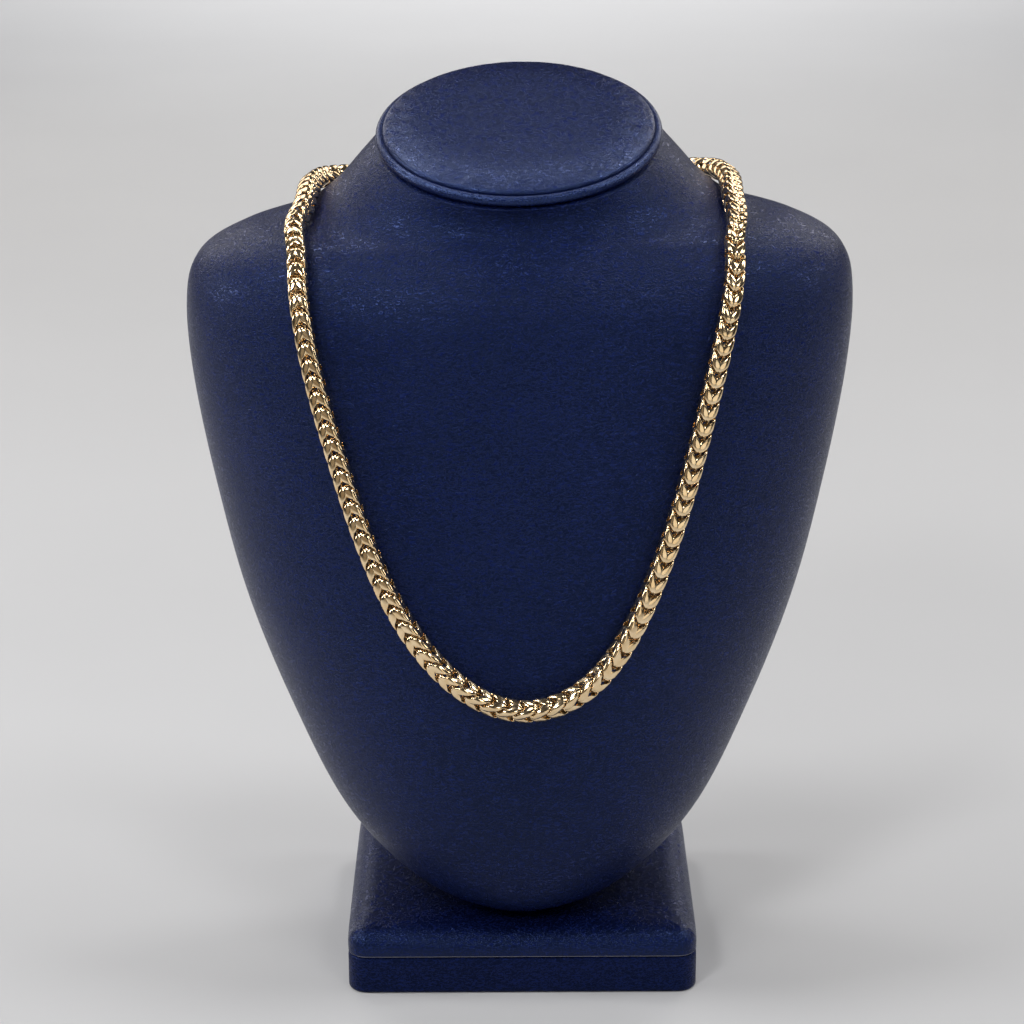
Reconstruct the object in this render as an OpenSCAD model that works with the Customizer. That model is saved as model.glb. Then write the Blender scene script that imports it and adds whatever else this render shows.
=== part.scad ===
// Franco chain necklace on a padded neck bust.
// X runs to the right, Y to the back and Z up. The origin is the middle of the base's underside.

/* [Chain] */
// Width of the square chain across its flats
chain_w = 5.8; // [5.2:0.1:7]
// Distance from one link to the next as a share of the chain width, before the links are
// spread evenly over the loop
link_pitch = 0.82; // [0.81:0.01:0.95]
// Length of a link between the middles of its two ends, as a share of the chain width
link_len = 1.4; // [1.36:0.01:1.41]
// Room between the chain and the leather it lies on
chain_gap = 0.6; // [0.5:0.1:1.2]

/* [Clasp] */
// Length of the clasp between the mouths of its two end caps
clasp_l = 20; // [18:1:26]
// Wall of the clasp's two end caps
clasp_wall = 0.7; // [0.5:0.1:1.2]
// Room between an end cap and the link in it
clasp_gap = 0.3; // [0.2:0.1:0.6]

/* [Bust] */
// Width over the shoulders
form_w = 203; // [180:1:230]
// Height of the form from the pad to the middle of its neck opening
form_h = 234.5; // [210:0.5:260]
// Depth that the form's front and back follow
form_d = 100; // [85:1:115]
// Radius of the neck at its top
neck_r = 41.8; // [38:0.2:48]
// Forward tilt of the neck's top
neck_tilt = 17; // [10:1:24]
// How much higher the form's right side stands, as a slope at its neck
form_lean = 1; // [0:0.1:2]

/* [Neck cap] */
// Thickness of the padded cap
cap_h = 6; // [6:0.5:12]
// Width of the cap's rounded upper edge
cap_edge = 11; // [4:0.5:16]
// Height of the cap's widest line over the neck
cap_belly = 4.2; // [4:0.1:5]
// How far the cap's widest line stays inside the piping's middle
cap_inset = 0.6; // [0.3:0.1:2]
// Diameter of the piping round the cap
piping_d = 3.2; // [2:0.1:4.5]

/* [Base] */
// Width of the base
base_w = 108; // [95:1:130]
// Depth of the base
base_d = 100; // [85:1:120]
// Height of the lower slab
slab_h = 12; // [8:0.5:18]
// Height of the padded upper part
pad_h = 8; // [6:0.5:12]
// Radius of the base's upright corners
base_corner = 6; // [3:0.5:10]
// Radius of the pad's rounded upper edge
pad_edge = 5; // [3:0.5:6]
// Room between two pieces that lie on each other
seam = 0.2; // [0.1:0.05:0.4]

/* [Hidden] */
$fn = 96;

// Sections of the form from its foot to its neck. Height, shoulder width, middle, front and
// back are shares of form_h, half of form_w and form_d. Neck is the share of neck_r that is
// added to width, front and back, tilt the share of neck_tilt, and flat how square the back is.
//        height width neck   middle front  back   tilt  flat
FORM = [[0.000, 0.090, 0.000, -0.11, 0.200, 0.200, 0.00, 2.6],
        [0.010, 0.205, 0.000, -0.11, 0.285, 0.250, 0.00, 2.8],
        [0.045, 0.375, 0.000, -0.09, 0.395, 0.300, 0.00, 3.0],
        [0.130, 0.560, 0.000, -0.05, 0.520, 0.330, 0.00, 3.2],
        [0.260, 0.710, 0.000,  0.00, 0.610, 0.370, 0.00, 3.4],
        [0.410, 0.842, 0.000,  0.04, 0.650, 0.400, 0.00, 3.6],
        [0.560, 0.930, 0.000,  0.08, 0.630, 0.410, 0.00, 3.6],
        [0.700, 0.990, 0.000,  0.11, 0.590, 0.410, 0.00, 3.4],
        [0.800, 1.005, 0.000,  0.13, 0.550, 0.410, 0.00, 3.2],
        [0.855, 0.970, 0.000,  0.15, 0.510, 0.390, 0.00, 3.0],
        [0.890, 0.825, 0.040,  0.16, 0.440, 0.340, 0.06, 2.5],
        [0.911, 0.560, 0.260,  0.16, 0.320, 0.250, 0.18, 2.3],
        [0.938, 0.310, 0.620,  0.16, 0.150, 0.130, 0.40, 2.1],
        [0.970, 0.130, 0.870,  0.16, 0.040, 0.040, 0.72, 2.0],
        [1.000, 0.000, 1.000,  0.16, 0.000, 0.000, 1.00, 2.0]];
H = 0;
WIDTH = 1;
NECK = 2;
MIDDLE = 3;
FRONT = 4;
BACK = 5;
TILT = 6;
FLAT = 7;

// Points that the chain passes, from behind the neck round its left side, down to the
// front and back up on the right: the angle round the form from its front, the row of FORM
// that it crosses, how far the chain is turned about its own length, and the share of the
// clasp's wall by which it is lifted.
//        angle   row  turn lift
ROUTE = [[180.0, 10.50,  0, 3.4],
         [226.0, 10.85,  0, 1.0],
         [248.0, 11.30,  0, 0.3],
         [266.0, 11.50,  0, 0.0],
         [281.0, 11.35,  0, 0.0],
         [295.0, 10.75,  0, 0.0],
         [312.0,  9.95, -6, 0.0],
         [320.0,  9.10, -12, 0.0],
         [325.5,  7.45, -12, 0.0],
         [329.2,  6.60, -12, 0.0],
         [333.3,  5.85, -8, 0.0],
         [339.1,  5.25,  6, 0.0],
         [348.0,  4.78, 26, 0.0],
         [360.0,  4.55, 40, 0.0],
         [372.2,  4.73, 26, 0.0],
         [380.2,  5.20,  6, 0.0],
         [385.5,  5.85, -8, 0.0],
         [389.0,  6.55, -10, 0.0],
         [392.3,  7.45, -10, 0.0],
         [398.8,  9.15, -8, 0.0],
         [406.0, 10.00, -3, 0.0],
         [422.5, 10.75,  0, 0.0],
         [439.0, 11.35,  0, 0.0],
         [456.0, 11.45,  0, 0.1],
         [472.0, 11.30,  0, 0.4],
         [494.0, 10.85,  0, 1.0]];
ANGLE = 0;
ROW = 1;
TURN = 2;
LIFT = 3;

base_top = slab_h + seam + pad_h;
form_z = base_top + seam;
form_rings = 30;
form_sides = 26;
route_samples = 480;
route_ease = 8;
wire_sides = 5;

// A smooth curve through four values at a share t between the middle two
function smooth(a, b, c, d, t) =
    (2 * b + (c - a) * t + (2 * a - 5 * b + 4 * c - d) * t * t
     + (3 * b - a - 3 * c + d) * t * t * t) / 2;

function unit(v) = v / norm(v);
function power(v, e) = sign(v) * pow(abs(v), e);

// Row of the form at any place u from its foot, 0, to its neck
function form_row(u) =
    let (last = len(FORM) - 1, i = min(floor(u), last - 1))
    smooth(FORM[max(i - 1, 0)], FORM[i], FORM[i + 1], FORM[min(i + 2, last)], u - i);

// Point on the leather at row u, at an angle from the front that grows to the right
function form_point(u, angle) =
    let (r = form_row(u),
         added = r[NECK] * neck_r,
         e = 2 / (cos(angle) > 0 ? 2.1 : r[FLAT]),
         depth = cos(angle) > 0 ? r[FRONT] : r[BACK],
         x = (r[WIDTH] * form_w / 2 + added) * power(sin(angle), e),
         dy = -(depth * form_d + added) * power(cos(angle), e))
    [x, r[MIDDLE] * form_d + dy,
     form_z + r[H] * form_h + dy * tan(r[TILT] * neck_tilt) + x * tan(r[H] * form_lean)];

function form_normal(u, angle) =
    let (du = 0.02, da = 0.5)
    unit(cross(form_point(u, angle + da) - form_point(u, angle - da),
               form_point(u + du, angle) - form_point(u - du, angle)));

// The chain's middle line over the leather, eased so that it bridges small hollows
function route_row(i) =
    let (n = len(ROUTE), k = i / route_samples * n, j = floor(k),
         pick = function (m) ROUTE[(m + n) % n] + [360 * floor(m / n), 0, 0, 0])
    smooth(pick(j - 1), pick(j), pick(j + 1), pick(j + 2), k - j);

function route_lift(r) =
    chain_w / 2 * (1 + 0.25 * pow(sin(2 * r[TURN]), 2)) + chain_gap
    + r[LIFT] * (clasp_wall + clasp_gap);

function eased(list, i) =
    let (n = route_samples)
    (list[(i + n - route_ease) % n] + 2 * list[i] + list[(i + route_ease) % n]) / 4;

function between(list, k) =
    let (n = len(list), i = floor(k))
    list[(i + n) % n] * (1 - k + i) + list[(i + 1 + n) % n] * (k - i);

route_rows = [for (i = [0 : route_samples - 1]) route_row(i)];
route_ups = [for (r = route_rows) form_normal(r[ROW], r[ANGLE])];
route_raw = [for (i = [0 : route_samples - 1])
    let (r = route_rows[i])
    form_point(r[ROW], r[ANGLE]) + route_ups[i] * route_lift(r)];
route_line = [for (i = [0 : route_samples - 1]) eased(route_raw, i)];
route_up = [for (i = [0 : route_samples - 1]) unit(eased(route_ups, i))];
route_turn = [for (r = route_rows) r[TURN]];
route_sums = [for (i = 0, s = 0; i <= route_samples;
                   s = s + norm(route_line[(i + 1) % route_samples]
                                - route_line[i % route_samples]), i = i + 1) s];
route_len = route_sums[route_samples];
route_table = [for (i = [0 : route_samples]) [route_sums[i], i]];
chain_start = clasp_l / 2 + clasp_gap;
link_count = floor((route_len - 2 * chain_start) / (link_pitch * chain_w)) + 1;
pitch = (route_len - 2 * chain_start) / (link_count - 1);

// Place on the route at a length s from behind the neck, with the way along the chain and
// the way that the chain's face looks
function route_place(s) =
    let (k = lookup(s < 0 ? s + route_len : s, route_table),
         step = 4,
         way = unit(between(route_line, k + step) - between(route_line, k - step)),
         side = unit(cross(way, between(route_up, k))),
         face = cross(side, way),
         turn = between(route_turn, k),
         turned = face * cos(turn) + side * sin(turn))
    [between(route_line, k), way, turned, cross(way, turned)];

// Corners of a link's wire: a bent ring with a plate at each of its four corners. The two
// rows give a quarter of the ring, x across the face, y along it, z along the chain, then
// half the wire's thickness and half its width. The other quarters mirror them.
link_z = link_len * chain_w;
waist = [0, 0.12, 0, 0.076, 0.108] * chain_w;
plate = [0.422, 0.131, 0.318, 0.077, 0.16] * chain_w;

function mirrored(r) = [r[1], r[0], link_z - r[2], r[3], r[4]];
function flipped(r, sx, sy) = [r[0] * sx, r[1] * sy, r[2], r[3], r[4]];
link_ring = [waist, plate, mirrored(plate), mirrored(waist),
             flipped(mirrored(plate), 1, -1), flipped(plate, 1, -1), flipped(waist, 1, -1),
             flipped(plate, -1, -1), flipped(mirrored(plate), -1, -1),
             flipped(mirrored(waist), -1, 1),
             flipped(mirrored(plate), -1, 1), flipped(plate, -1, 1)];

function middle(r) = [r[0], r[1], r[2]];
function outward(r) = unit([power(r[0], 2), power(r[1], 2), 0]);

function wire_corners(i) =
    let (n = len(link_ring), r = link_ring[i],
         along = unit(middle(link_ring[(i + 1) % n]) - middle(link_ring[(i + n - 1) % n])),
         out = unit(outward(r) - along * (outward(r) * along)),
         over = cross(along, out))
    [for (k = [0 : wire_sides - 1])
        let (a = (k + 0.5) * 360 / wire_sides)
        middle(r) + out * r[3] * cos(a) / cos(180 / wire_sides)
        + over * r[4] * sin(a) / cos(90 / wire_sides)];

link_corners = [for (i = [0 : len(link_ring) - 1]) each wire_corners(i)];
link_faces = [for (i = [0 : len(link_ring) - 1], k = [0 : wire_sides - 1])
    let (n = len(link_ring), a = i * wire_sides, b = (i + 1) % n * wire_sides,
         l = (k + 1) % wire_sides)
    each [[a + k, b + k, b + l], [a + k, b + l, a + l]]];

module link(s) {
    at = route_place(s);
    polyhedron([for (p = link_corners)
                    at[0] + at[2] * p[0] + at[3] * p[1] + at[1] * (p[2] - link_z / 2)],
               link_faces);
}

module links(from, to) {
    for (i = [from : to])
        link(chain_start + i * pitch);
}

module chain_left() {
    color("gold")
        links(0, floor(link_count / 2) - 1);
}

module chain_right() {
    color("gold")
        links(floor(link_count / 2), link_count - 1);
}

module on_route(s) {
    at = route_place(s);
    multmatrix([[at[2][0], at[3][0], at[1][0], at[0][0]],
                [at[2][1], at[3][1], at[1][1], at[0][1]],
                [at[2][2], at[3][2], at[1][2], at[0][2]]])
        children();
}

// A bar with an end cap at each side, closed round the first and the last link
module clasp() {
    inside = chain_w + 2 * clasp_gap;
    depth = link_z / 2 + waist[4];
    color("gold")
        difference() {
            union() {
                on_route(0)
                    cube([chain_w, chain_w, clasp_l - 2 * depth - clasp_wall], center = true);
                for (end = [-1, 1])
                    on_route(end * clasp_l / 2)
                        clasp_cap(inside + 2 * clasp_wall, -end * (depth + clasp_wall));
            }
            for (end = [-1, 1])
                on_route(end * clasp_l / 2) {
                    clasp_cap(inside, -end * depth);
                    clasp_cap(inside, end * depth);
                }
        }
}

module clasp_cap(side, length) {
    translate([0, 0, length / 2])
        cube([side, side, abs(length)], center = true);
}

function form_ring(u) = [for (k = [0 : form_sides - 1]) form_point(u, k * 360 / form_sides)];

module bust_form() {
    last = len(FORM) - 1;
    points = [for (i = [0 : form_rings]) each form_ring(i / form_rings * last)];
    sides = [for (i = [0 : form_rings - 1], k = [0 : form_sides - 1])
        let (a = i * form_sides, b = a + form_sides, l = (k + 1) % form_sides)
        each [[a + k, b + l, a + l], [a + k, b + k, b + l]]];
    foot = [for (k = [0 : form_sides - 1]) k];
    top = [for (k = [form_sides - 1 : -1 : 0]) form_rings * form_sides + k];
    color("midnightblue")
        polyhedron(points, concat(sides, [foot, top]));
}

module on_neck() {
    top = FORM[len(FORM) - 1];
    translate([0, top[MIDDLE] * form_d, form_z + form_h])
        rotate([neck_tilt, -form_lean, 0])
            children();
}

module neck_cap() {
    widest = neck_r - cap_inset;
    seat = neck_r - piping_d / 2 - seam;
    under = min(cap_belly - seam, 1);
    crown = [for (a = [90 : -10 : 0])
        [widest - cap_edge * (1 - cos(a)), cap_belly + (cap_h - cap_belly) * sin(a)]];
    belly = [for (a = [-15 : -15 : -90])
        [seat + (widest - seat) * cos(a), cap_belly + under * sin(a)]];
    color("midnightblue")
        on_neck()
            translate([0, 0, seam])
                rotate_extrude()
                    polygon(concat([[0, 0], [0, cap_h]], crown, belly, [[seat, 0]]));
}

module cap_piping() {
    color("midnightblue")
        on_neck()
            translate([0, 0, piping_d / 2 + seam])
                rotate_extrude()
                    translate([neck_r, 0])
                        circle(piping_d / 2);
}

module base_plan() {
    for (x = [-1, 1], y = [-1, 1])
        translate([x * (base_w / 2 - base_corner), y * (base_d / 2 - base_corner)])
            circle(base_corner);
    square([base_w - 2 * base_corner, base_d], center = true);
    square([base_w, base_d - 2 * base_corner], center = true);
}

// Upright section of the pad over one of its sides, with both upper edges rounded
module pad_section(side, length) {
    rotate([90, 0, 0])
        linear_extrude(length, center = true) {
            translate([-side / 2, 0])
                square([side, pad_h - pad_edge]);
            translate([pad_edge - side / 2, 0])
                square([side - 2 * pad_edge, pad_h]);
            for (end = [-1, 1])
                translate([end * (side / 2 - pad_edge), pad_h - pad_edge])
                    circle(pad_edge);
        }
}

module base_pad() {
    color("midnightblue")
        translate([0, 0, slab_h + seam])
            intersection() {
                linear_extrude(pad_h)
                    base_plan();
                pad_section(base_w, 2 * base_d);
                rotate([0, 0, 90])
                    pad_section(base_d, 2 * base_w);
            }
}

module base_slab() {
    color("midnightblue")
        linear_extrude(slab_h)
            base_plan();
}

chain_left();
chain_right();
clasp();
bust_form();
neck_cap();
cap_piping();
base_pad();
base_slab();
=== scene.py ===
import math

import bmesh
import bpy
import numpy as np
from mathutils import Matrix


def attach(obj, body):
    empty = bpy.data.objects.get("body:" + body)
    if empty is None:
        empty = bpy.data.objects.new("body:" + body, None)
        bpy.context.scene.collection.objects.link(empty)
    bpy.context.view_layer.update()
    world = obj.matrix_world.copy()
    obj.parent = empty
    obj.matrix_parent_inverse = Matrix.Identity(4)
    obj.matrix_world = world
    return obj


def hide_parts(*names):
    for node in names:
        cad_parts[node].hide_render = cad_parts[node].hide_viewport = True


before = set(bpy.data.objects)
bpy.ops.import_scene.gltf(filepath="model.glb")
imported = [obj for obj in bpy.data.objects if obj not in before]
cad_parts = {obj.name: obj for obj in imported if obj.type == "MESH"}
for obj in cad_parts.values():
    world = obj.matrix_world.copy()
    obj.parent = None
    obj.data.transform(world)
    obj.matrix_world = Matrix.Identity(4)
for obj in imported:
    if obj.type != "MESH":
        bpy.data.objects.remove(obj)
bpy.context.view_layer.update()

# Base slab. A board wrapped in navy leatherette, with its edges rounded a little by the
# wrapping. It carries the padded part of the base. The sizes of all pieces are millimetres
# in the frame of the CAD model, and add_piece turns them into metres.
BASE_W = 108.0
BASE_D = 100.0
BASE_CORNER = 6.0
SLAB_H = 12.0
SLAB_EDGE = 1.1
SEAM = 0.2
# A corner that is moved in keeps at least this share of its radius
LEAST_CORNER = 0.08
# Edges sharper than this, in degrees, aren't shaded smooth
SHARP_FROM = 50


class Shade:
    """One socket of a material's nodes. Arithmetic on it adds Math nodes."""

    def __init__(self, tree, socket):
        self.tree = tree
        self.socket = socket

    def node(self, kind, settings, inputs, output=0):
        """Any node: its settings first, then the values or links of its sockets."""
        made = self.tree.nodes.new("ShaderNode" + kind)
        for name, value in settings.items():
            setattr(made, name, value)
        for name, value in inputs.items():
            if isinstance(value, Shade):
                self.tree.links.new(value.socket, made.inputs[name])
            else:
                made.inputs[name].default_value = value
        return Shade(self.tree, made.outputs[output])

    def math(self, operation, first, second=0.0):
        return self.node("Math", {"operation": operation}, {0: first, 1: second})

    def __add__(self, other):
        return self.math("ADD", self, other)

    def __sub__(self, other):
        return self.math("SUBTRACT", self, other)

    def __rsub__(self, other):
        return self.math("SUBTRACT", other, self)

    def __mul__(self, other):
        return self.math("MULTIPLY", self, other)

    __radd__ = __add__
    __rmul__ = __mul__

    def size(self):
        return self.math("ABSOLUTE", self)

    def between(self, low, high):
        """0 below low, 1 above high, and smooth between them."""
        return self.node("MapRange", {"interpolation_type": "SMOOTHSTEP"},
                         {"Value": self, "From Min": low, "From Max": high})

    def mix(self, first, second):
        """A colour that goes from first to second as this value goes from 0 to 1."""
        return self.node("Mix", {"data_type": "RGBA"}, {0: self, 6: first, 7: second}, 2)

    def noise(self, size_mm, detail=2.0, rough=0.5, warp=0.0):
        """Noise with spots of about so many millimetres."""
        return self.node("TexNoise", {}, {"Vector": self, "Scale": 1000 / size_mm,
                                          "Detail": detail, "Roughness": rough,
                                          "Distortion": warp})


def new_material(name):
    made = bpy.data.materials.new(name)
    made.use_nodes = True
    tree = made.node_tree
    return made, Shade(tree, tree.nodes.new("ShaderNodeTexCoord").outputs["Object"])


def finish_material(made, inputs):
    shader = made.node_tree.nodes["Principled BSDF"]
    for name, value in inputs.items():
        if isinstance(value, Shade):
            made.node_tree.links.new(value.socket, shader.inputs[name])
        else:
            shader.inputs[name].default_value = value


# Colours of the leatherette in its wrinkles, partly painted shade, on its grain and in its
# shine
WRINKLE_GRAIN_AND_SHADE_BLUE = (0.0009, 0.0027, 0.020, 1)
GRAIN_BLUE = (0.0062, 0.0130, 0.082, 1)
SHINE_BLUE = (0.27, 0.43, 1.0, 1)
# A pale colour painted along the pad's lower edge as the seam's highlight
PAINTED_SEAM_HIGHLIGHT = (0.34, 0.34, 0.38, 1)
# The wrinkles lie closer together upwards than across. Their depth is in metres, the length
# over which the shade changes in millimetres, and the pores are a share of the grain.
WRINKLE_FLOW = (1.0, 1.0, 2.1)
WRINKLE_DEPTH = 0.00015
SHADE_DRIFT = 26.0
PORES = 0.28


def leatherette(name, rough, relief, sheen=0.42, grain=1.6, highlight_top=None):
    """Navy leatherette: short wandering wrinkles, fine pores and a slow change of shade.
    The grain is in millimetres. Below a given height, in metres, a pale band is painted as a
    highlight along the lower edge."""
    made, place = new_material(name)
    drawn = place.node("VectorMath", {"operation": "MULTIPLY"}, {0: place, 1: WRINKLE_FLOW})
    folds = drawn.noise(grain, rough=0.6, warp=0.9)
    wrinkles = (folds - 0.5).size().between(0.0, 0.15)
    pores = place.noise(grain * PORES, detail=1.0, rough=0.6)
    drift = place.noise(SHADE_DRIFT)
    height = wrinkles * 0.8 + pores * 0.3 + drift * 2.5
    # A slow random change of tone, mixed with the wrinkles, which are darkened partly as
    # painted shade
    shade = (drift * 0.3 + wrinkles * 0.7).between(0.15, 0.90)
    colour = shade.mix(WRINKLE_GRAIN_AND_SHADE_BLUE, GRAIN_BLUE)
    # A pale band painted as a highlight along the lower edge, below the given height
    if highlight_top is not None:
        height_up = place.node("SeparateXYZ", {}, {0: place}, 2)
        colour = height_up.between(highlight_top, highlight_top + 0.0001).mix(PAINTED_SEAM_HIGHLIGHT, colour)
    finish_material(made, {
        "Base Color": colour,
        "Roughness": (1 - wrinkles) * 0.12 + pores * 0.06 + (rough - 0.06),
        "Specular IOR Level": sheen,
        "Specular Tint": SHINE_BLUE,
        "Normal": place.node("Bump", {}, {"Strength": relief, "Distance": WRINKLE_DEPTH,
                                          "Height": height}),
    })
    return made


def lofted(rings, wrap=False):
    """Points and faces through rings of points. Wrap joins the last ring to the first,
    or else both ends are closed round a middle point."""
    rings = np.asarray(rings, float)
    rows, sides = rings.shape[:2]
    points = rings.reshape(-1, 3)
    i = np.arange(rows if wrap else rows - 1)[:, None] * sides
    k = np.arange(sides)[None, :]
    after = (i + sides) % (rows * sides)
    turn = (k + 1) % sides
    faces = np.stack([i + k, i + turn, after + turn, after + k], -1).reshape(-1, 4).tolist()
    if not wrap:
        points = np.vstack([points, rings[0].mean(0), rings[-1].mean(0)])
        first = rows * sides
        low = (rows - 1) * sides
        faces += [[first, (n + 1) % sides, n] for n in range(sides)]
        faces += [[first + 1, low + n, low + (n + 1) % sides] for n in range(sides)]
    return points, faces


def add_piece(name, points, faces, made, node, slot):
    """A piece from points in millimetres, fixed to the body, in place of a CAD node."""
    mesh = bpy.data.meshes.new(name)
    mesh.from_pydata((np.asarray(points) / 1000).tolist(), [], faces)
    mesh.materials.append(made)
    work = bmesh.new()
    work.from_mesh(mesh)
    bmesh.ops.recalc_face_normals(work, faces=work.faces)
    work.to_mesh(mesh)
    work.free()
    mesh.shade_smooth()
    mesh.set_sharp_from_angle(angle=math.radians(SHARP_FROM))
    piece = bpy.data.objects.new(name, mesh)
    bpy.context.scene.collection.objects.link(piece)
    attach(piece, "root")
    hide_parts(node)
    return piece


def rounded_ring(width, depth, corner, inset, height, corner_steps=10, edge_steps=50):
    """A ring round a rounded rectangle, moved in by inset, at one height."""
    radius = max(corner - inset, LEAST_CORNER * corner)
    x, y = width / 2 - inset - radius, depth / 2 - inset - radius
    a = np.radians(np.linspace(0, 90, corner_steps + 1))
    arc = np.column_stack([np.cos(a), np.sin(a)]) * radius
    corners = []
    for turn, (sx, sy) in enumerate([(1, 1), (-1, 1), (-1, -1), (1, -1)]):
        c, t = math.cos(turn * math.pi / 2), math.sin(turn * math.pi / 2)
        corners.append(arc @ np.array([[c, t], [-t, c]]) + [sx * x, sy * y])
    share = np.arange(1, edge_steps)[:, None] / edge_steps
    ring = []
    for here, after in zip(corners, corners[1:] + corners[:1]):
        ring += [here, here[-1] + (after[0] - here[-1]) * share]
    ring = np.vstack(ring)
    return np.column_stack([ring, np.full(len(ring), height)])


def base_plan(inset, height):
    return rounded_ring(BASE_W, BASE_D, BASE_CORNER, inset, height)


def quarter(radius, steps):
    """A quarter turn in steps, as pairs of sine and cosine times the radius."""
    return [(radius * math.sin(math.radians(a)), radius * math.cos(math.radians(a)))
            for a in np.linspace(0, 90, steps)]


slab_rings = [base_plan(inset, 0.0) for inset in (40.0, 20.0, 8.0, 3.0)]
slab_rings += [base_plan(SLAB_EDGE - s, SLAB_EDGE - c) for s, c in quarter(SLAB_EDGE, 6)]
slab_rings += [base_plan(0.0, z) for z in (3.0, 6.0, 9.0)]
slab_rings += [base_plan(SLAB_EDGE - c, SLAB_H - SLAB_EDGE + s)
               for s, c in quarter(SLAB_EDGE, 6)]
slab_rings += [base_plan(inset, SLAB_H) for inset in (3.0, 8.0, 20.0, 40.0)]
slab_cover = leatherette("slab leatherette", 0.40, 0.6, sheen=0.25)
add_piece("base_slab_wrap", *lofted(slab_rings), slab_cover, "base_slab", "slab_leather")

# Base pad. Foam under stretched leatherette, fixed on the slab. Its upper edge is rounded
# all round, and a narrow seam parts it from the slab.
PAD_H = 8.0
PAD_EDGE = 5.0
PAD_LOW_EDGE = 0.7
# The height of the pale band painted as a highlight along the pad's lower edge
PAD_HIGHLIGHT_BAND = 0.35
pad_z = SLAB_H + SEAM
pad_rings = [base_plan(inset, pad_z) for inset in (40.0, 20.0, 8.0, 2.0)]
pad_rings += [base_plan(PAD_LOW_EDGE - s, pad_z + PAD_LOW_EDGE - c)
              for s, c in quarter(PAD_LOW_EDGE, 5)]
pad_rings += [base_plan(0.0, pad_z + 2.0)]
pad_rings += [base_plan(PAD_EDGE - c, pad_z + PAD_H - PAD_EDGE + s)
              for s, c in quarter(PAD_EDGE, 12)]
pad_rings += [base_plan(inset, pad_z + PAD_H) for inset in (8.0, 12.0, 18.0, 26.0, 36.0, 46.0)]
pad_cover = leatherette("pad leatherette", 0.26, 0.5, sheen=0.5, highlight_top=(pad_z + PAD_HIGHLIGHT_BAND) / 1000)
base_pad = add_piece("base_pad_cover", *lofted(pad_rings), pad_cover, "base_pad", "pad_leather")

CLOTH_PRESSURE = 4.0
CLOTH_FRAMES = 20


def coordinates(mesh):
    flat = np.empty(3 * len(mesh.vertices), np.float32)
    mesh.vertices.foreach_get("co", flat)
    return flat.reshape(-1, 3)


def blow_up(piece, held, limit):
    """A short cloth simulation with air pressure inside. Held points stay, and no other
    point moves more than limit, in millimetres."""
    group = piece.vertex_groups.new(name="held")
    group.add(np.flatnonzero(held).tolist(), 1.0, "REPLACE")
    cloth = piece.modifiers.new("cloth", "CLOTH")
    cloth.settings.vertex_group_mass = group.name
    cloth.settings.use_pressure = True
    cloth.settings.uniform_pressure_force = CLOTH_PRESSURE
    cloth.settings.effector_weights.gravity = 0
    for number in range(1, CLOTH_FRAMES + 1):
        bpy.context.scene.frame_set(number)
    blown = piece.evaluated_get(bpy.context.evaluated_depsgraph_get())
    start = coordinates(piece.data)
    move = coordinates(blown.data) - start
    length = np.linalg.norm(move, axis=1, keepdims=True)
    move *= limit / 1000 * np.tanh(length / limit * 1000) / np.maximum(length, 1e-9)
    piece.modifiers.remove(cloth)
    piece.vertex_groups.remove(group)
    bpy.context.scene.frame_set(1)
    piece.data.vertices.foreach_set("co", (start + move).ravel())
    piece.data.update()


# The seat on the slab keeps its place, and so does the middle, where the bust stands.
SEAT_H = 0.8
BUST_INSET = 25
PAD_SWELL = 0.5
x, y, z = coordinates(base_pad.data).T * 1000
under_bust = np.maximum(np.abs(x) - BASE_W / 2, np.abs(y) - BASE_D / 2) < -BUST_INSET
blow_up(base_pad, (z < pad_z + SEAT_H) | under_bust, PAD_SWELL)

# Neck bust. A moulded form of shoulders and chest, tapering to a foot on the pad, with
# leatherette drawn tight over it. The rows are shares of its height, width and depth.
FORM_W = 203.0
FORM_H = 234.5
FORM_D = 100.0
FORM_Z = SLAB_H + SEAM + PAD_H + SEAM
FORM_LEAN = 1.0
NECK_R = 41.8
NECK_TILT = 17.0
# In front the rows are nearly ellipses, whose power would be 2. Behind, the last column has it.
FRONT_POWER = 2.1
# The cover turns in at the neck's rim, from this row and over this part of a row
RIM_ROW = 13.8
RIM_PART = 0.2
RIM_TURN_IN = 1.5
FORM_TURNS = 240
#         height width neck   middle front  back   tilt  flat
FORM = np.array([
    [0.000, 0.090, 0.000, -0.11, 0.200, 0.200, 0.00, 2.6],
    [0.010, 0.205, 0.000, -0.11, 0.285, 0.250, 0.00, 2.8],
    [0.045, 0.375, 0.000, -0.09, 0.395, 0.300, 0.00, 3.0],
    [0.130, 0.560, 0.000, -0.05, 0.520, 0.330, 0.00, 3.2],
    [0.260, 0.710, 0.000, 0.00, 0.610, 0.370, 0.00, 3.4],
    [0.410, 0.842, 0.000, 0.04, 0.650, 0.400, 0.00, 3.6],
    [0.560, 0.930, 0.000, 0.08, 0.630, 0.410, 0.00, 3.6],
    [0.700, 0.990, 0.000, 0.11, 0.590, 0.410, 0.00, 3.4],
    [0.800, 1.005, 0.000, 0.13, 0.550, 0.410, 0.00, 3.2],
    [0.855, 0.970, 0.000, 0.15, 0.510, 0.390, 0.00, 3.0],
    [0.890, 0.825, 0.040, 0.16, 0.440, 0.340, 0.06, 2.5],
    [0.911, 0.560, 0.260, 0.16, 0.320, 0.250, 0.18, 2.3],
    [0.938, 0.310, 0.620, 0.16, 0.150, 0.130, 0.40, 2.1],
    [0.970, 0.130, 0.870, 0.16, 0.040, 0.040, 0.72, 2.0],
    [1.000, 0.000, 1.000, 0.16, 0.000, 0.000, 1.00, 2.0]])


def through(a, b, c, d, t):
    """A smooth curve through four values, at a share t between the middle two."""
    return (2 * b + (c - a) * t + (2 * a - 5 * b + 4 * c - d) * t ** 2
            + (3 * b - a - 3 * c + d) * t ** 3) / 2


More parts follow.
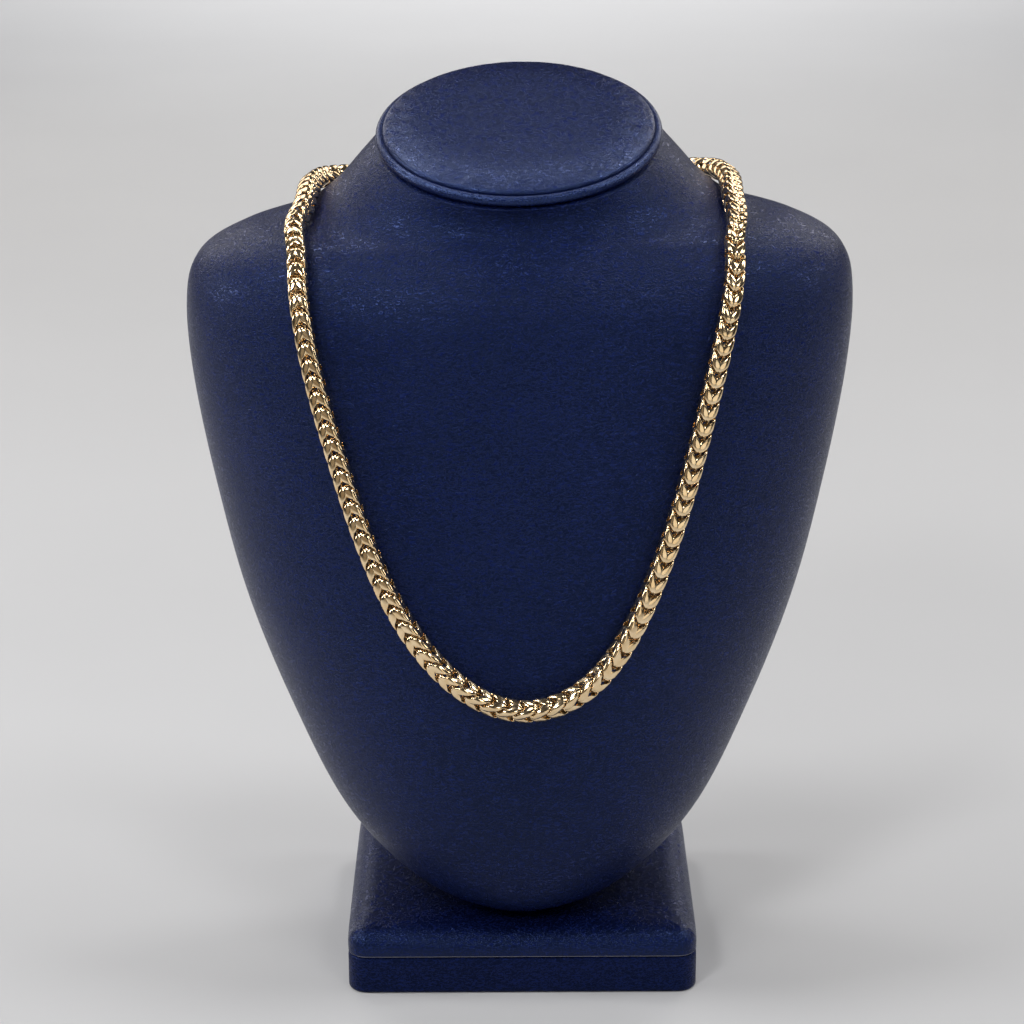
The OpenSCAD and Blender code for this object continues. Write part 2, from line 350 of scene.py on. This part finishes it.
def form_points(u, angle):
    """Points on the leather at rows u, at angles in degrees from the front."""
    u, angle = np.broadcast_arrays(np.asarray(u, float), np.radians(angle))
    last = len(FORM) - 1
    i = np.minimum(np.floor(u).astype(int), last - 1)
    t = (u - i)[..., None]
    row = through(FORM[np.maximum(i - 1, 0)], FORM[i], FORM[i + 1],
                  FORM[np.minimum(i + 2, last)], t)
    height, width, neck, middle, front, back, tilt, flat = np.moveaxis(row, -1, 0)
    ahead = np.cos(angle) > 0
    added = neck * NECK_R
    power = 2 / np.where(ahead, FRONT_POWER, flat)
    depth = np.where(ahead, front, back)
    across = np.sign(np.sin(angle)) * np.abs(np.sin(angle)) ** power
    along = np.sign(np.cos(angle)) * np.abs(np.cos(angle)) ** power
    x = (width * FORM_W / 2 + added) * across
    dy = -(depth * FORM_D + added) * along
    z = (FORM_Z + height * FORM_H + dy * np.tan(np.radians(tilt * NECK_TILT))
         + x * np.tan(np.radians(height * FORM_LEAN)))
    return np.stack([x, middle * FORM_D + dy, z], -1)


# The mesh has 24 rows in the foot, 110 up to the shoulders and 110 from there to the rim.
form_rows = np.concatenate([np.linspace(0, 1.5, 24, endpoint=False),
                            np.linspace(1.5, 9.0, 110, endpoint=False),
                            np.linspace(9.0, 14.0, 110)])
form_angles = np.linspace(0, 360, FORM_TURNS, endpoint=False)
form_rings = form_points(form_rows[:, None], form_angles[None, :])
rim = np.clip((form_rows - RIM_ROW) / RIM_PART, 0, 1)
turned_in = 1 - RIM_TURN_IN * (1 - np.sqrt(1 - rim ** 2)) / NECK_R
middles = form_rings.mean(1, keepdims=True)
form_rings = middles + (form_rings - middles) * turned_in[:, None, None]
add_piece("bust_cover", *lofted(form_rings), leatherette("bust leatherette", 0.30, 1.0),
          "bust_form", "bust_leather")

# Piping. A cord covered in leatherette, laid round the top of the neck where the bust's
# cover and the cap meet.
PIPING_D = 3.2
TURNS = 240


def on_neck(points):
    """Points of the neck's tilted top, moved to their place on the bust."""
    a, b = math.radians(NECK_TILT), math.radians(-FORM_LEAN)
    tilt = np.array([[1, 0, 0], [0, math.cos(a), -math.sin(a)], [0, math.sin(a), math.cos(a)]])
    lean = np.array([[math.cos(b), 0, math.sin(b)], [0, 1, 0], [-math.sin(b), 0, math.cos(b)]])
    top = [0, FORM[-1][3] * FORM_D, FORM_Z + FORM_H]
    return np.asarray(points) @ (lean @ tilt).T + top


def turned(profile):
    """Rings of a profile of radius and height, turned round the neck's middle."""
    a = np.radians(np.linspace(0, 360, TURNS, endpoint=False))
    return np.array([[[r * math.cos(t), r * math.sin(t), z] for t in a] for r, z in profile])


piping_turn = [math.radians(a) for a in range(0, 360, 15)]
piping_profile = [(NECK_R + PIPING_D / 2 * math.cos(a),
                   SEAM + PIPING_D / 2 * (1 + math.sin(a))) for a in piping_turn]
add_piece("piping_cord", *lofted(on_neck(turned(piping_profile)), wrap=True),
          leatherette("piping leatherette", 0.17, 0.3, sheen=1.0, grain=0.8),
          "cap_piping", "piping_leather")

# Neck cap. A disc of foam under leatherette, set inside the piping, with a broad rounded
# shoulder and a nearly flat top.
CAP_H = 6.4
CAP_CROWN = 0.5
CAP_EDGE = 7.5
CAP_BELLY = 3.4
CAP_INSET = 0.6
CAP_SEAT_H = 1.6
CAP_UNDERCUT = 1.4
CAP_SWELL = 0.6
widest = NECK_R - CAP_INSET
seat = NECK_R - PIPING_D / 2 - SEAM
rim_z = CAP_H - CAP_CROWN - CAP_BELLY
cap_profile = [(r, SEAM) for r in (10.0, 25.0, 34.0, 38.0)] + [(seat, SEAM), (seat, CAP_SEAT_H)]
cap_profile += [(seat + (widest - seat) * math.sin(a),
                 SEAM + CAP_BELLY - CAP_UNDERCUT * math.cos(a))
                for a in np.radians(range(0, 90, 15))]
held_rows = len(cap_profile)
cap_profile += [(widest - CAP_EDGE * (1 - math.cos(a)), SEAM + CAP_BELLY + rim_z * math.sin(a))
                for a in np.radians(np.linspace(0, 84, 24))]
inner = cap_profile[-1]
cap_profile += [(inner[0] * k, inner[1] + (SEAM + CAP_H - inner[1]) * (1 - k * k))
                for k in (0.94, 0.86, 0.76, 0.64, 0.5, 0.36, 0.22, 0.1)]
neck_cap = add_piece("cap_cover", *lofted(on_neck(turned(cap_profile))),
                     leatherette("cap leatherette", 0.24, 0.5, sheen=0.9), "neck_cap",
                     "cap_leather")
# The cap is held inside the piping, up to its widest row, and at the middle of its seat.
held = np.arange(len(neck_cap.data.vertices)) < held_rows * TURNS
held[-2] = True
blow_up(neck_cap, held, CAP_SWELL)

# Chain. A franco chain of bent and pressed links, each one a ring with four plates that
# lie flat on the sides of a square. Every link holds the two after it.
CHAIN_W = 5.8
LINK_PITCH = 0.82 * CHAIN_W
CHAIN_GAP = 0.92
CLASP_L = 20.0
CLASP_WALL = 0.7
CLASP_GAP = 0.3
# The route: angle round the bust from its front, row of the form, turn, and lift in walls
# and gaps of the clasp
ROUTE = np.array([
    [180.0, 10.50, 0, 3.4], [226.0, 10.85, 0, 1.0], [248.0, 11.30, 0, 0.3],
    [266.0, 11.50, 0, 0.0], [281.0, 11.35, 0, 0.0], [295.0, 10.75, 0, 0.0],
    [312.0, 9.95, -6, 0.0], [320.0, 9.10, -12, 0.0], [325.5, 7.45, -12, 0.0],
    [329.2, 6.60, -12, 0.0], [333.3, 5.85, -8, 0.0], [339.1, 5.25, 6, 0.0],
    [348.0, 4.78, 26, 0.0], [360.0, 4.55, 40, 0.0], [372.2, 4.73, 26, 0.0],
    [380.2, 5.20, 6, 0.0], [385.5, 5.85, -8, 0.0], [389.0, 6.55, -10, 0.0],
    [392.3, 7.45, -10, 0.0], [398.8, 9.15, -8, 0.0], [406.0, 10.00, -3, 0.0],
    [422.5, 10.75, 0, 0.0], [439.0, 11.35, 0, 0.0], [456.0, 11.45, 0, 0.1],
    [472.0, 11.30, 0, 0.4], [494.0, 10.85, 0, 1.0]])
ROUTE_SAMPLES = 480
# Over how many samples the route is smoothed, and its direction read, on each side
ROUTE_EASE = 8
ROUTE_REACH = 4
# Small steps in angle and row, over which the leather's slope is read
ANGLE_STEP = 0.5
ROW_STEP = 0.02
# How much higher the chain lies where it is on edge, as a share of half its width
CORNER_LIFT = 0.25


def unit(v):
    return v / np.linalg.norm(v, axis=-1, keepdims=True)


def route_point(m):
    """Row m of the route, also past its ends, where the angles go on."""
    return ROUTE[m % len(ROUTE)] + np.outer(m // len(ROUTE), [360, 0, 0, 0])


def eased(values):
    """Values round the loop, smoothed over their neighbours."""
    return (np.roll(values, ROUTE_EASE, 0) + 2 * values + np.roll(values, -ROUTE_EASE, 0)) / 4


steps = np.arange(ROUTE_SAMPLES) / ROUTE_SAMPLES * len(ROUTE)
whole = np.floor(steps).astype(int)
route = through(route_point(whole - 1), route_point(whole), route_point(whole + 1),
                route_point(whole + 2), (steps - whole)[:, None])
angles, rows = route[:, 0], route[:, 1]
ups = unit(np.cross(
    form_points(rows, angles + ANGLE_STEP) - form_points(rows, angles - ANGLE_STEP),
    form_points(rows + ROW_STEP, angles) - form_points(rows - ROW_STEP, angles)))
lift = (CHAIN_W / 2 * (1 + CORNER_LIFT * np.sin(np.radians(2 * route[:, 2])) ** 2) + CHAIN_GAP
        + route[:, 3] * (CLASP_WALL + CLASP_GAP))
line = eased(form_points(rows, angles) + ups * lift[:, None])
ups = unit(eased(ups))
lengths = np.concatenate([[0], np.cumsum(np.linalg.norm(np.roll(line, -1, 0) - line, axis=1))])
chain_start = CLASP_L / 2 + CLASP_GAP
link_count = int((lengths[-1] - 2 * chain_start) / LINK_PITCH) + 1
pitch = (lengths[-1] - 2 * chain_start) / (link_count - 1)


def between(values, k):
    """The value at a place k between two whole numbers, round the loop."""
    i = int(math.floor(k))
    return values[i % len(values)] * (1 - k + i) + values[(i + 1) % len(values)] * (k - i)


def route_place(s):
    """Place at a length s from behind the neck, and the axes across, beside and along."""
    k = np.interp(s % lengths[-1], lengths, np.arange(ROUTE_SAMPLES + 1))
    way = unit(between(line, k + ROUTE_REACH) - between(line, k - ROUTE_REACH))
    side = unit(np.cross(way, between(ups, k)))
    face = np.cross(side, way)
    turn = math.radians(between(route[:, 2], k))
    across = face * math.cos(turn) + side * math.sin(turn)
    return between(line, k), np.array([across, np.cross(way, across), way])


# The length of a link between the middles of its wire at both ends
LINK_Z = 8.2
# A quarter of the wire: x, y, z, half its thickness and half its width
LINK = np.array([[0.00, 0.92, 0.00, 0.43, 0.48], [1.05, 0.88, 0.38, 0.43, 0.52],
                 [1.97, 0.62, 0.82, 0.44, 0.70], [2.42, 0.60, 1.52, 0.46, 1.00],
                 [2.50, 0.88, 2.45, 0.48, 1.30], [2.50, 1.68, 3.38, 0.48, 1.31],
                 [2.46, 2.46, 4.10, 0.46, 1.25]])
# How square the pressed chain is, how far its plates fall off to their edges, and how round
# the wire is, where 1 would be an ellipse
PRESSED = 5.0
PLATE_FALL = 0.07
WIRE_POWER = 0.8
LINK_STEPS = 2
LINK_SIDES = 16


def link_points():
    """Rings of points round a link's wire, about the link's middle."""
    head = LINK[-2::-1][:, [1, 0, 2, 3, 4]] * [1, 1, -1, 1, 1] + [0, 0, LINK_Z, 0, 0]
    leg = np.vstack([LINK, head])
    flips = [(1, 1, 1), (1, -1, -1), (-1, -1, 1), (-1, 1, -1)]
    ring = np.vstack([(leg[::order] * [sx, sy, 1, 1, 1])[:-1] for sx, sy, order in flips])
    near = [np.roll(ring, n, 0) for n in (1, 0, -1, -2)]
    path = np.stack([through(*near, t) for t in np.arange(LINK_STEPS) / LINK_STEPS], 1)
    path = path.reshape(-1, 5)
    along = unit(np.roll(path[:, :3], -1, 0) - np.roll(path[:, :3], 1, 0))
    out = np.sign(path[:, :3]) * path[:, :3] ** 2 * [1, 1, 0]
    out = unit(out - (out * along).sum(1)[:, None] * along)
    over = np.cross(along, out)
    a = np.arange(LINK_SIDES) / LINK_SIDES * 2 * np.pi
    c, s = (np.sign(v) * np.abs(v) ** WIRE_POWER for v in (np.cos(a), np.sin(a)))
    rings = (path[:, None, :3] + (path[:, 3, None] * c)[..., None] * out[:, None]
             + (path[:, 4, None] * s)[..., None] * over[:, None])
    reach = (np.abs(rings[..., :2]) ** PRESSED).sum(-1) ** (1 / PRESSED)
    rings[..., :2] *= np.minimum(1, CHAIN_W / 2 * (1 - PLATE_FALL * s ** 4) / reach)[..., None]
    return rings - [0, 0, LINK_Z / 2]


# Yellow gold, polished, with a slow change of polish that is too small for the mesh
gold, place = new_material("yellow gold")
polish = place.noise(2.6, rough=0.6)
finish_material(gold, {
    "Base Color": polish.between(0.3, 0.7).mix((0.88, 0.64, 0.36, 1), (0.98, 0.77, 0.49, 1)),
    "Metallic": 1.0,
    "Roughness": polish * 0.12 + 0.08,
    "Normal": place.node("Bump", {}, {"Strength": 0.25, "Distance": 0.00008,
                                      "Height": polish}),
})

flat_link, link_faces = lofted(link_points(), wrap=True)
link_faces = np.array(link_faces)
halves = {"left": range(0, link_count // 2), "right": range(link_count // 2, link_count)}
for side, numbers in halves.items():
    points, faces = [], []
    for n, i in enumerate(numbers):
        at, axes = route_place(chain_start + i * pitch)
        points.append(flat_link @ axes + at)
        faces.append(link_faces + n * len(flat_link))
    add_piece(f"chain_{side}_links", np.vstack(points), np.vstack(faces).tolist(), gold,
              f"chain_{side}", "gold")

# Clasp. A plain bar behind the neck with an end cap at each side, closed round the first
# and the last link. It is pressed from gold sheet, so that its edges are a little round.
CLASP_EDGE = 0.35
CLASP_CORNER = 0.9
CLASP_LIP = 0.2
CLASP_MOUTH = 0.25
cap_inside = CHAIN_W + 2 * CLASP_GAP
cap_outside = cap_inside + 2 * CLASP_WALL
# A link's length and wire as shares of the chain's width, as the CAD model has them. They
# set how deep a cap is.
LINK_L = 1.4
LINK_WIRE = 0.108
cap_depth = (LINK_L / 2 + LINK_WIRE) * CHAIN_W
cap_length = cap_depth + CLASP_WALL


def box_rings(width, steps):
    """Rings of a square bar. Each step is a place along it and an inset."""
    return [rounded_ring(width, width, CLASP_CORNER, inset, z, corner_steps=4, edge_steps=6)
            for z, inset in steps]


cap_steps = [(0.0, CLASP_EDGE), (0.4 * CLASP_EDGE, 0.1 * CLASP_EDGE), (CLASP_EDGE, 0.0),
             (cap_length - CLASP_EDGE, 0.0), (cap_length - CLASP_LIP / 2, CLASP_LIP / 2),
             (cap_length, CLASP_MOUTH)]
cap_box = box_rings(cap_outside, cap_steps)
cap_box += box_rings(cap_inside, [(cap_length, -CLASP_LIP), (cap_length - CLASP_LIP, 0.0),
                                  (CLASP_WALL, 0.0)])
bar_half = (CLASP_L - 2 * cap_depth - CLASP_WALL) / 2
bar_box = box_rings(CHAIN_W, [(z, 0.0) for z in np.linspace(-bar_half, bar_half, 9)])
clasp_parts = []
for end in (-1, 1):
    at, axes = route_place(end * CLASP_L / 2)
    points, faces = lofted(cap_box)
    points = (points - [0, 0, cap_length]) * [1, 1, end]
    clasp_parts.append((points @ axes + at, faces))
at, axes = route_place(0.0)
points, faces = lofted(bar_box)
clasp_parts.append((points @ axes + at, faces))
points, faces = [], []
for part, part_faces in clasp_parts:
    first = sum(len(p) for p in points)
    points.append(part)
    faces += [[first + n for n in face] for face in part_faces]
add_piece("clasp_body", np.vstack(points), faces, gold, "clasp", "gold")

# Floor and light. A plain pale paper floor. Small soft lights above, in front and behind draw
# the leather's highlights, two broad warm panels in front are what the gold mirrors, and one
# light is for the floor behind. All of this is set out in metres.
FLOOR_REACH = 6
floor_mesh = bpy.data.meshes.new("floor")
floor_corners = [(x * FLOOR_REACH, y * FLOOR_REACH, 0)
                 for x, y in ((-1, -1), (1, -1), (1, 1), (-1, 1))]
floor_mesh.from_pydata(floor_corners, [], [(0, 1, 2, 3)])
floor = bpy.data.objects.new("floor", floor_mesh)
bpy.context.scene.collection.objects.link(floor)
paper, place = new_material("studio floor")
finish_material(paper, {"Base Color": place.noise(180.0).mix((0.61, 0.61, 0.62, 1),
                                                           (0.65, 0.65, 0.66, 1)),
                        "Roughness": 0.8})
floor_mesh.materials.append(paper)

WHITE = (1.0, 1.0, 1.0)
CREAM = (1.0, 0.95, 0.86)
AMBER = (1.0, 0.84, 0.64)
PALE = (1.0, 0.95, 0.88)
# name, place, aim, size in metres, power, spread in degrees, colour
LIGHTS = [("overhead panel", (0.0, 0.42, 1.25), (0, 0, 0.26), 0.4, 1.0, 180, WHITE),
          ("left top", (-0.75, -0.2, 1.15), (0, 0, 0.26), 0.3, 4.0, 180, WHITE),
          ("right top", (0.75, -0.2, 1.12), (0, 0, 0.26), 0.3, 3.2, 180, WHITE),
          ("left rear top", (-0.45, 0.5, 1.2), (0, 0, 0.26), 0.3, 2.0, 180, WHITE),
          ("right rear top", (0.48, 0.5, 1.2), (0, 0, 0.26), 0.3, 2.0, 180, WHITE),
          ("front top", (0.0, -0.25, 1.2), (0, 0, 0.14), 0.2, 0.8, 180, WHITE),
          ("left key", (-0.55, -0.95, 1.05), (0, 0, 0.16), 0.3, 4.4, 180, WHITE),
          ("right key", (0.55, -0.95, 1.05), (0, 0, 0.16), 0.3, 1.4, 180, WHITE),
          ("right panel", (0.8, -1.85, 0.42), (0, 0, 0.16), 1.3, 3.6, 180, CREAM),
          ("left panel", (-0.8, -1.85, 0.45), (0, 0, 0.16), 1.2, 0.75, 180, AMBER),
          ("left rim", (-1.3, 0.1, 0.6), (0, 0, 0.2), 0.5, 5.0, 180, WHITE),
          ("right rim", (1.3, 0.1, 0.7), (0, 0, 0.2), 0.5, 3.0, 180, WHITE),
          ("left back", (-0.7, 1.2, 0.75), (0, 0, 0.2), 0.7, 2.4, 180, PALE),
          ("right back", (0.7, 1.2, 0.75), (0, 0, 0.2), 0.7, 2.4, 180, PALE),
          ("backdrop light", (0.0, 2.7, 1.6), (0, 2.2, 0.0), 1.6, 10.0, 70, WHITE)]
for name, at, target, size, power, spread, colour in LIGHTS:
    lamp = bpy.data.lights.new(name, "AREA")
    lamp.shape, lamp.size, lamp.energy, lamp.color = "DISK", size, power, colour
    lamp.spread = math.radians(spread)
    holder = bpy.data.objects.new(name, lamp)
    bpy.context.scene.collection.objects.link(holder)
    holder.location = at
    look = np.array(target) - at
    holder.rotation_euler = (math.atan2(math.hypot(look[0], look[1]), -look[2]), 0,
                             math.atan2(look[1], look[0]) - math.pi / 2)

world = bpy.data.worlds.new("studio")
world.use_nodes = True
sky = world.node_tree.nodes["Background"]
sky.inputs["Color"].default_value = (0.86, 0.86, 0.90, 1)
sky.inputs["Strength"].default_value = 0.05
bpy.context.scene.world = world

# Camera. In front of the bust and a little above it, looking 19 degrees down and rolled by a
# quarter of a degree, with a focal length that suits the photograph's perspective.
SENSOR = 36
FOCAL_PIXELS = 2900
PICTURE_PIXELS = 1024
camera_data = bpy.data.cameras.new("camera")
camera_data.sensor_width = SENSOR
camera_data.lens = FOCAL_PIXELS / PICTURE_PIXELS * SENSOR
camera = bpy.data.objects.new("camera", camera_data)
bpy.context.scene.collection.objects.link(camera)
camera.location = (-0.0026, -0.851, 0.4334)
tilt, roll = math.radians(90 - 19), math.radians(-0.25)
camera.rotation_mode = "QUATERNION"
camera.rotation_quaternion = (math.cos(tilt / 2) * math.cos(roll / 2),
                              math.sin(tilt / 2) * math.cos(roll / 2),
                              -math.sin(tilt / 2) * math.sin(roll / 2),
                              math.cos(tilt / 2) * math.sin(roll / 2))
bpy.context.scene.camera = camera
bpy.context.scene.view_settings.view_transform = "Standard"
light_paths = bpy.context.scene.cycles
light_paths.max_bounces, light_paths.glossy_bounces, light_paths.diffuse_bounces = 4, 3, 2
light_paths.caustics_reflective = False
